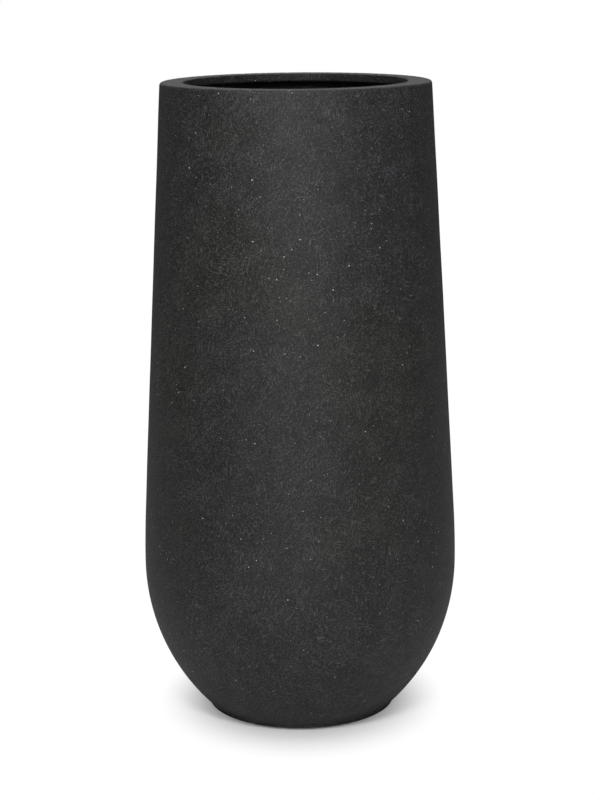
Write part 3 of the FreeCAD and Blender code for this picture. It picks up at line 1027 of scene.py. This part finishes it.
@dataclass
class LinerPot:
    """The lift-out pot: a fluted, drafted wall, a flat flange, drain holes and two ears."""

    top: float = 866 * MM
    under: float = 566 * MM
    opening: float = 126 * MM
    inside_low: float = 100 * MM
    wall: float = 3 * MM
    floor: float = 3 * MM
    flange_radius: float = 153 * MM
    flange_thickness: float = 4 * MM
    flange_round: float = 1.2 * MM
    groove_radius: float = 149.6 * MM
    groove: float = 0.5 * MM
    corner: float = 8 * MM
    ring_radius: float = 84 * MM
    ring_rise: float = 1.2 * MM
    drain_radius: float = 6 * MM
    drain_circle: float = 62 * MM
    drain_count: int = 6
    flutes: int = 24
    flute_depth: float = 1.3 * MM
    flute_sharpness: int = 3
    flute_fade: float = 30.75 * MM
    flute_low: float = 590 * MM
    flute_high: float = 836 * MM
    step_height: float = 846 * MM
    step: float = 1 * MM
    ear_inner: float = 135.5 * MM
    ear_thickness: float = 5 * MM
    ear_length: float = 44 * MM
    ear_height: float = 9 * MM
    ear_round: float = 3 * MM
    ear_root: float = 0.5 * MM
    ear_break: float = 0.5 * MM
    pivot_height: float = 868.3 * MM
    pivot_offset: float = 12 * MM
    pivot_radius: float = 2.05 * MM
    steps: int = 288

    def inner(self, height: float) -> float:
        """Inside radius of the drafted wall at a height."""
        share = (height - self.under - self.floor) / (self.top - self.under - self.floor)
        return self.inside_low + (self.opening - self.inside_low) * share

    def shell(self) -> bmesh.types.BMesh:
        """Turn the pot without its holes and ears, and press its flutes.

        Returns:
            The shape.
        """
        flange_under = self.top - self.flange_thickness
        floor_top = self.under + self.floor
        outer_corner = self.inner(self.under) + self.wall - self.corner
        outline = Outline().at(0, self.under + self.ring_rise)
        outline.line(self.ring_radius - self.ring_rise, self.under + self.ring_rise, pieces=6)
        outline.at(self.ring_radius, self.under)
        outline.arc((outer_corner, self.under + self.corner), self.corner,
                    -QUARTER, 0, CURVE, first=True)
        outline.line(self.inner(self.step_height) + self.wall, self.step_height, pieces=30)
        outline.at(self.inner(self.step_height) + self.wall + self.step,
                   self.step_height + self.step)
        outline.line(self.opening + self.wall, flange_under, pieces=3)
        outline.line(self.flange_radius - self.flange_round, flange_under, pieces=3)
        round_radius = self.flange_radius - self.flange_round
        outline.arc((round_radius, flange_under + self.flange_round), self.flange_round,
                    -QUARTER, 0, ROUND)
        outline.arc((round_radius, self.top - self.flange_round), self.flange_round,
                    0, QUARTER, ROUND, first=True)
        outline.at(self.groove_radius + self.groove, self.top)
        outline.at(self.groove_radius, self.top - self.groove)
        outline.at(self.groove_radius - self.groove, self.top)
        mouth_round = (self.opening + self.flange_round, self.top - self.flange_round)
        outline.arc(mouth_round, self.flange_round, QUARTER, math.pi, ROUND, first=True)
        outline.line(self.inner(self.step_height) + self.step, self.step_height + self.step,
                     pieces=3)
        outline.at(self.inner(self.step_height), self.step_height)
        inner_round = self.corner - self.wall
        outline.line(self.inner(floor_top + inner_round), floor_top + inner_round, pieces=30)
        outline.arc((self.inner(floor_top) - inner_round, floor_top + inner_round),
                    inner_round, 0, -QUARTER, pieces=6)
        outline.line(0, floor_top, pieces=6)
        bm = turned(outline, self.steps, closed=False)
        bmesh.ops.remove_doubles(bm, verts=bm.verts, dist=MERGE)
        self.flute(bm)
        return bm

    def flute(self, bm: bmesh.types.BMesh) -> None:
        """Press the flutes into the wall, inside and out alike.

        Args:
            bm: The turned pot.
        """
        for vert in bm.verts:
            height = vert.co.z
            ends = min(height - self.flute_low, self.flute_high - height) / self.flute_fade
            radius = math.hypot(vert.co.x, vert.co.y)
            if ends <= 0 or radius < self.inside_low / 2:
                continue
            share = min(ends, 1) ** 2 * (3 - 2 * min(ends, 1))
            wave = 0.5 + 0.5 * math.cos(self.flutes * math.atan2(vert.co.y, vert.co.x))
            pull = self.flute_depth * share * wave ** self.flute_sharpness
            vert.co.x -= vert.co.x / radius * pull
            vert.co.y -= vert.co.y / radius * pull

    def drains(self) -> bmesh.types.BMesh:
        """Make the pegs that leave the drain holes.

        Returns:
            The pegs.
        """
        bm = bmesh.new()
        for number in range(self.drain_count):
            angle = FULL_TURN * number / self.drain_count
            place = Matrix.Translation((self.drain_circle * math.cos(angle),
                                        self.drain_circle * math.sin(angle), self.under))
            peg(bm, place, self.drain_radius, 6 * self.floor)
        return bm

    def ear(self, side: int) -> bmesh.types.BMesh:
        """Make one ear with its two pivot holes.

        Args:
            side: 1 for the ear towards +Y, -1 for the other.

        Returns:
            The ear.
        """
        bm = bmesh.new()
        middle = side * (self.ear_inner + self.ear_thickness / 2)
        height = self.ear_height + self.ear_root
        size = Matrix.Diagonal((self.ear_length, self.ear_thickness, height, 1))
        place = Matrix.Translation((0, middle, self.top - self.ear_root + height / 2))
        bmesh.ops.create_cube(bm, size=1, matrix=place @ size)
        for axis, offset, segments in ((0, self.ear_round, 6), (1, self.ear_break, 2)):
            square = [edge for edge in bm.edges if self.is_upper(edge, axis)]
            round_edges(bm, square, offset, segments)
        pivots = bmesh.new()
        for way in (-1, 1):
            place = Matrix.Translation((way * self.pivot_offset, middle, self.pivot_height))
            across = place @ Matrix.Rotation(QUARTER, 4, "X")
            peg(pivots, across, self.pivot_radius, 3 * self.ear_thickness)
        return cut(bm, pivots)

    def is_upper(self, edge: bmesh.types.BMEdge, axis: int) -> bool:
        """Whether an edge lies above the flange and square to an axis."""
        first, second = (vert.co for vert in edge.verts)
        return min(first.z, second.z) > self.top and abs(first[axis] - second[axis]) < MERGE

    def build(self) -> None:
        """Make the pot."""
        bm = cut(self.shell(), self.drains())
        for side in (-1, 1):
            add_copy(bm, self.ear(side))
        piece = make_object("liner_pot_moulded", bm)
        dress(piece, (Finish.PLASTIC,))
        declare(piece, "liner", "liner_plastic", "liner_pot")


@dataclass
class LiftBails:
    """The liner's two wire bails, each a bent wire whose ends turn in the ears."""

    wire: float = 2 * MM
    offset: float = 12 * MM
    bend: float = 5 * MM
    arc: float = 130 * MM
    stub_end: float = 142 * MM
    height: float = 868.3 * MM
    end_round: float = 0.6 * MM
    sides: int = 24
    bend_steps: int = 10
    arc_steps: int = 120

    def bent_wire(self) -> bmesh.types.BMesh:
        """Draw a disc out along the right-hand bail's route.

        Returns:
            The wire.
        """
        bm = bmesh.new()
        start = Matrix.Translation((self.offset, self.stub_end, self.height))
        bmesh.ops.create_circle(bm, cap_ends=True, segments=self.sides, radius=self.wire,
                                matrix=start @ Matrix.Rotation(QUARTER, 4, "X"))
        bend_end = self.arc + self.bend
        stub = Vector((0, bend_end - self.stub_end, 0))
        middle = self.offset + self.bend
        disc = self.straight(bm, list(bm.faces), stub)
        disc = self.turn(bm, disc, (middle, bend_end, self.height), QUARTER, self.bend_steps)
        disc = self.turn(bm, disc, (middle, 0, self.height), -math.pi, self.arc_steps)
        disc = self.turn(bm, disc, (middle, -bend_end, self.height), QUARTER, self.bend_steps)
        self.straight(bm, disc, stub)
        tips = [edge for edge in bm.edges
                if all(abs(abs(vert.co.y) - self.stub_end) < MERGE for vert in edge.verts)]
        round_edges(bm, tips, self.end_round, 3)
        return bm

    @staticmethod
    def straight(bm: bmesh.types.BMesh, disc: list, way: Vector) -> list:
        """Draw the growing end out in a straight line.

        Args:
            bm: The wire.
            disc: The face at its growing end.
            way: How far and which way.

        Returns:
            The new end's face.
        """
        grown = bmesh.ops.extrude_face_region(bm, geom=disc)["geom"]
        verts = [item for item in grown if isinstance(item, bmesh.types.BMVert)]
        bmesh.ops.translate(bm, verts=verts, vec=way)
        return [item for item in grown if isinstance(item, bmesh.types.BMFace)]

    @staticmethod
    def turn(bm: bmesh.types.BMesh, disc: list, centre: Sequence[float], angle: float,
             steps: int) -> list:
        """Draw the growing end round an upright axis.

        Args:
            bm: The wire.
            disc: The face at its growing end.
            centre: A point on the axis.
            angle: How far it turns, in radians.
            steps: How many steps that takes.

        Returns:
            The new end's face.
        """
        last = bmesh.ops.spin(bm, geom=disc, axis=UP, cent=centre, angle=angle,
                              steps=steps, use_merge=False)["geom_last"]
        return [item for item in last if isinstance(item, bmesh.types.BMFace)]

    def build(self) -> None:
        """Make both bails; the left one is the right one turned half round."""
        for side, about in (("right", 0.0), ("left", math.pi)):
            bm = self.bent_wire()
            bmesh.ops.rotate(bm, verts=bm.verts, cent=(0, 0, 0),
                             matrix=Matrix.Rotation(about, 3, "Z"))
            piece = make_object(f"lift_bail_{side}_wire", bm)
            dress(piece, (Finish.WIRE,))
            declare(piece, f"bail_{side}", "wire", f"lift_bail_{side}")


@dataclass
class DrainPlug:
    """The rubber plug: a lipped stem, a head on the bush and a knob to pull."""

    under: float = 7 * MM
    stem: float = 10.2 * MM
    lip: float = 0.45 * MM
    lips: int = 3
    lip_pitch: float = 4.2 * MM
    head_under: float = 26.3 * MM
    head_radius: float = 17 * MM
    head_thickness: float = 4 * MM
    neck_radius: float = 4.5 * MM
    neck_length: float = 9 * MM
    knob_radius: float = 9 * MM
    knob_thickness: float = 5 * MM
    edge: float = 1.2 * MM
    steps: int = 96

    def build(self) -> None:
        """Make the plug."""
        head_top = self.head_under + self.head_thickness
        knob_under = head_top + self.neck_length
        knob_top = knob_under + self.knob_thickness
        slim = self.stem - self.lip
        outline = Outline().at(0, self.under + self.edge)
        outline.at(slim - 3 * self.edge, self.under + self.edge)
        outline.at(slim - 2 * self.edge, self.under)
        outline.arc((slim - self.edge, self.under + self.edge), self.edge, -QUARTER, 0, ROUND,
                    first=True)
        for number in range(self.lips):
            height = self.under + self.lip_pitch * (number + 1)
            outline.at(slim, height - 2 * self.lip)
            outline.arc((slim, height), self.lip, -QUARTER, QUARTER, pieces=6, first=True)
            outline.at(slim, height + 2 * self.lip)
        outline.at(slim, self.head_under)
        round_radius = self.head_radius - self.edge
        outline.at(round_radius, self.head_under)
        outline.arc((round_radius, self.head_under + self.edge), self.edge, -QUARTER, 0, ROUND)
        outline.arc((round_radius, head_top - self.edge), self.edge, 0, QUARTER, ROUND,
                    first=True)
        fillet = (self.neck_radius + self.edge, head_top + self.edge)
        outline.arc(fillet, self.edge, 3 * QUARTER, math.pi, ROUND, first=True)
        fillet = (self.neck_radius + self.edge, knob_under - self.edge)
        outline.arc(fillet, self.edge, math.pi, QUARTER, ROUND, first=True)
        round_radius = self.knob_radius - self.edge
        outline.arc((round_radius, knob_under + self.edge), self.edge, -QUARTER, 0, pieces=5,
                    first=True)
        outline.arc((round_radius, knob_top - self.edge), self.edge, 0, QUARTER, pieces=5,
                    first=True)
        outline.line(0, knob_top, pieces=4)
        piece = make_object("drain_plug_moulded", turned(outline, self.steps, closed=False))
        dress(piece, (Finish.RUBBER,))
        declare(piece, "plug", "plug_rubber", "drain_plug")


@dataclass
class FootPads:
    """Six rubber pads under the foot ring, each dished and ringed underneath."""

    count: int = 6
    circle: float = 117.3 * MM
    radius: float = 12.5 * MM
    thickness: float = 2 * MM
    edge: float = 0.5 * MM
    dish_radius: float = 6 * MM
    dish: float = 0.5 * MM
    ring_radius: float = 9 * MM
    ring: float = 0.3 * MM
    steps: int = 48

    def pad(self) -> bmesh.types.BMesh:
        """Turn one pad on the axis.

        Returns:
            The pad.
        """
        outline = Outline().at(0, self.dish)
        outline.line(self.dish_radius - self.dish, self.dish, pieces=2)
        outline.at(self.dish_radius, 0)
        outline.at(self.ring_radius - self.ring, 0)
        outline.at(self.ring_radius, self.ring)
        outline.at(self.ring_radius + self.ring, 0)
        round_radius = self.radius - self.edge
        outline.arc((round_radius, self.edge), self.edge, -QUARTER, 0, ROUND, first=True)
        outline.at(self.radius, self.thickness)
        outline.line(0, self.thickness, pieces=2)
        return turned(outline, self.steps, closed=False)

    def build(self) -> None:
        """Make the pads."""
        pads = bmesh.new()
        for number in range(self.count):
            angle = FULL_TURN * number / self.count
            one = self.pad()
            place = (self.circle * math.cos(angle), self.circle * math.sin(angle), 0)
            bmesh.ops.translate(one, verts=one.verts, vec=place)
            add_copy(pads, one)
        piece = make_object("foot_pads_moulded", pads)
        dress(piece, (Finish.RUBBER,))
        declare(piece, "planter", "pad_rubber", "foot_pads")


# ---------------------------------------------------------------- the studio


@dataclass(frozen=True)
class StudioFloor:
    """White floor: the planter's soft shadow fades out into pure white; clear from below."""

    albedo: float = 0.88
    seen_white: float = 1.20      # the camera's floor, so bright that only the shadow is under 1
    clear_white: float = 1.02
    fade_start: float = 0.10
    fade_end: float = 0.27
    sideways: tuple = (1.2, 1.0, 1.0)      # the shadow fades sooner to the sides

    def build(self) -> bpy.types.Material:
        """Make the material.

        Returns:
            The material.
        """
        shader = Shader("studio_floor")
        drawn = shader.vector("MULTIPLY", shader.place, self.sideways)
        reach = shader.node("ShaderNodeVectorMath", {0: drawn}, operation="LENGTH")
        far = Signal(shader, reach.outputs["Value"]).rises(self.fade_start, self.fade_end)
        near = shader.node("ShaderNodeBsdfDiffuse", {"Color": (self.seen_white,) * 3 + (1,)})
        white = shader.node("ShaderNodeEmission", {"Strength": self.clear_white})
        plain = shader.node("ShaderNodeBsdfDiffuse", {"Color": (self.albedo,) * 3 + (1,)})
        seen = shader.node("ShaderNodeLightPath").outputs["Is Camera Ray"]
        above = shader.mixed(seen, plain, shader.mixed(far, near, white))
        below = shader.node("ShaderNodeNewGeometry").outputs["Backfacing"]
        clear = shader.node("ShaderNodeBsdfTransparent")
        both = shader.mixed(below, above, clear)
        shader.feed(shader.output.inputs["Surface"], both.outputs[0])
        shader.tree.nodes.remove(shader.surface)
        return shader.material


@dataclass(frozen=True)
class Lamp:
    """A soft rectangular lamp, in metres and watts."""

    name: str
    place: tuple[float, float, float]
    aim: tuple[float, float, float]
    size: tuple[float, float]
    power: float

    def hang(self) -> None:
        """Hang the lamp so that it faces the point that it is aimed at."""
        data = bpy.data.lights.new(self.name, "AREA")
        data.shape = "RECTANGLE"
        data.size, data.size_y = self.size
        data.energy = self.power
        lamp = bpy.data.objects.new(self.name, data)
        lamp.visible_camera = False
        bpy.context.scene.collection.objects.link(lamp)
        way = Vector(self.aim) - Vector(self.place)
        lamp.matrix_world = (Matrix.Translation(self.place)
                             @ way.to_track_quat("-Z", "Y").to_matrix().to_4x4())


@dataclass
class Studio:
    """White floor, white surround, soft lamps and the camera."""

    distance: float = 2970 * MM
    camera_height: float = 1098 * MM
    camera_across: float = 1.8 * MM
    pitch: float = math.radians(12.35)
    roll: float = math.radians(-0.54)
    focal_pixels: float = 2127
    image_height: float = 800
    sensor: float = 36.0
    sight: float = 60.0              # how far the camera sees, in metres
    floor_size: float = 14.0
    ambient: float = 0.135
    lamps: tuple[Lamp, ...] = (
        Lamp("overhead", (0.0, 0.0, 3.0), (0.0, 0.0, 0.0), (2.4, 2.4), 20),
        Lamp("front", (-0.1, -1.5, 1.7), (0.0, -0.18, 0.85), (0.5, 0.3), 17.5),
        Lamp("low front", (0.0, -2.6, 0.3), (0.0, 0.0, 0.12), (1.8, 0.3), 11),
        Lamp("right side", (2.6, -1.2, 1.0), (0.0, 0.0, 0.5), (0.6, 1.8), 3.2),
        Lamp("behind", (0.0, 2.8, 1.5), (0.0, 0.0, 0.8), (2.4, 0.6), 8))

    def camera(self) -> None:
        """Stand the camera where the photograph was taken from."""
        data = bpy.data.cameras.new("camera")
        data.sensor_fit = "VERTICAL"
        data.sensor_height = self.sensor
        data.lens = self.focal_pixels / self.image_height * self.sensor
        data.clip_end = self.sight
        eye = bpy.data.objects.new("camera", data)
        bpy.context.scene.collection.objects.link(eye)
        forward = Vector((0, math.cos(self.pitch), -math.sin(self.pitch)))
        up = Vector((0, math.sin(self.pitch), math.cos(self.pitch)))
        right = Vector((1, 0, 0))
        level_right = right * math.cos(self.roll) + up * math.sin(self.roll)
        level_up = up * math.cos(self.roll) - right * math.sin(self.roll)
        turn = Matrix((level_right, level_up, -forward)).transposed().to_4x4()
        place = Matrix.Translation((self.camera_across, -self.distance, self.camera_height))
        eye.matrix_world = place @ turn
        bpy.context.scene.camera = eye

    def surround(self) -> None:
        """A white world, plainly lit."""
        world = bpy.data.worlds.new("studio")
        bpy.context.scene.world = world
        world.use_nodes = True
        tree = NodeTree(world.node_tree)
        light = tree.node("ShaderNodeBackground", {"Color": (1, 1, 1, 1),
                                                   "Strength": self.ambient})
        seen = tree.node("ShaderNodeBackground", {"Color": (1, 1, 1, 1), "Strength": 1.0})
        path = tree.node("ShaderNodeLightPath")
        mix = tree.mixed(path.outputs["Is Camera Ray"], light, seen)
        tree.node("ShaderNodeOutputWorld", {"Surface": mix.outputs[0]})

    def floor(self) -> None:
        """The floor that the planter stands on."""
        bm = bmesh.new()
        bmesh.ops.create_grid(bm, x_segments=1, y_segments=1, size=self.floor_size / 2)
        ground = make_object("floor", bm)
        ground.data.materials.append(StudioFloor().build())

    def build(self) -> None:
        """Set the whole studio up."""
        self.camera()
        self.surround()
        self.floor()
        for lamp in self.lamps:
            lamp.hang()
        bpy.context.scene.view_settings.view_transform = "Standard"


def dress_nodes() -> None:
    """Finish the solids whose own shape is right."""
    for name, finish in (("seam_strap", Finish.RAW), ("liner_ledge", Finish.RAW),
                         ("base_plate", Finish.RAW), ("drain_bush", Finish.PLASTIC)):
        dress(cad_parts[name], (finish,))
        log.info("%s: finished as it is", name)


def main() -> None:
    """Build and dress the planter, then light it."""
    logging.basicConfig(level=logging.INFO, format="%(name)s: %(message)s")
    Studio().build()
    Vessel().build()
    LinerPot().build()
    LiftBails().build()
    DrainPlug().build()
    FootPads().build()
    dress_nodes()


if __name__ == "__main__":
    main()
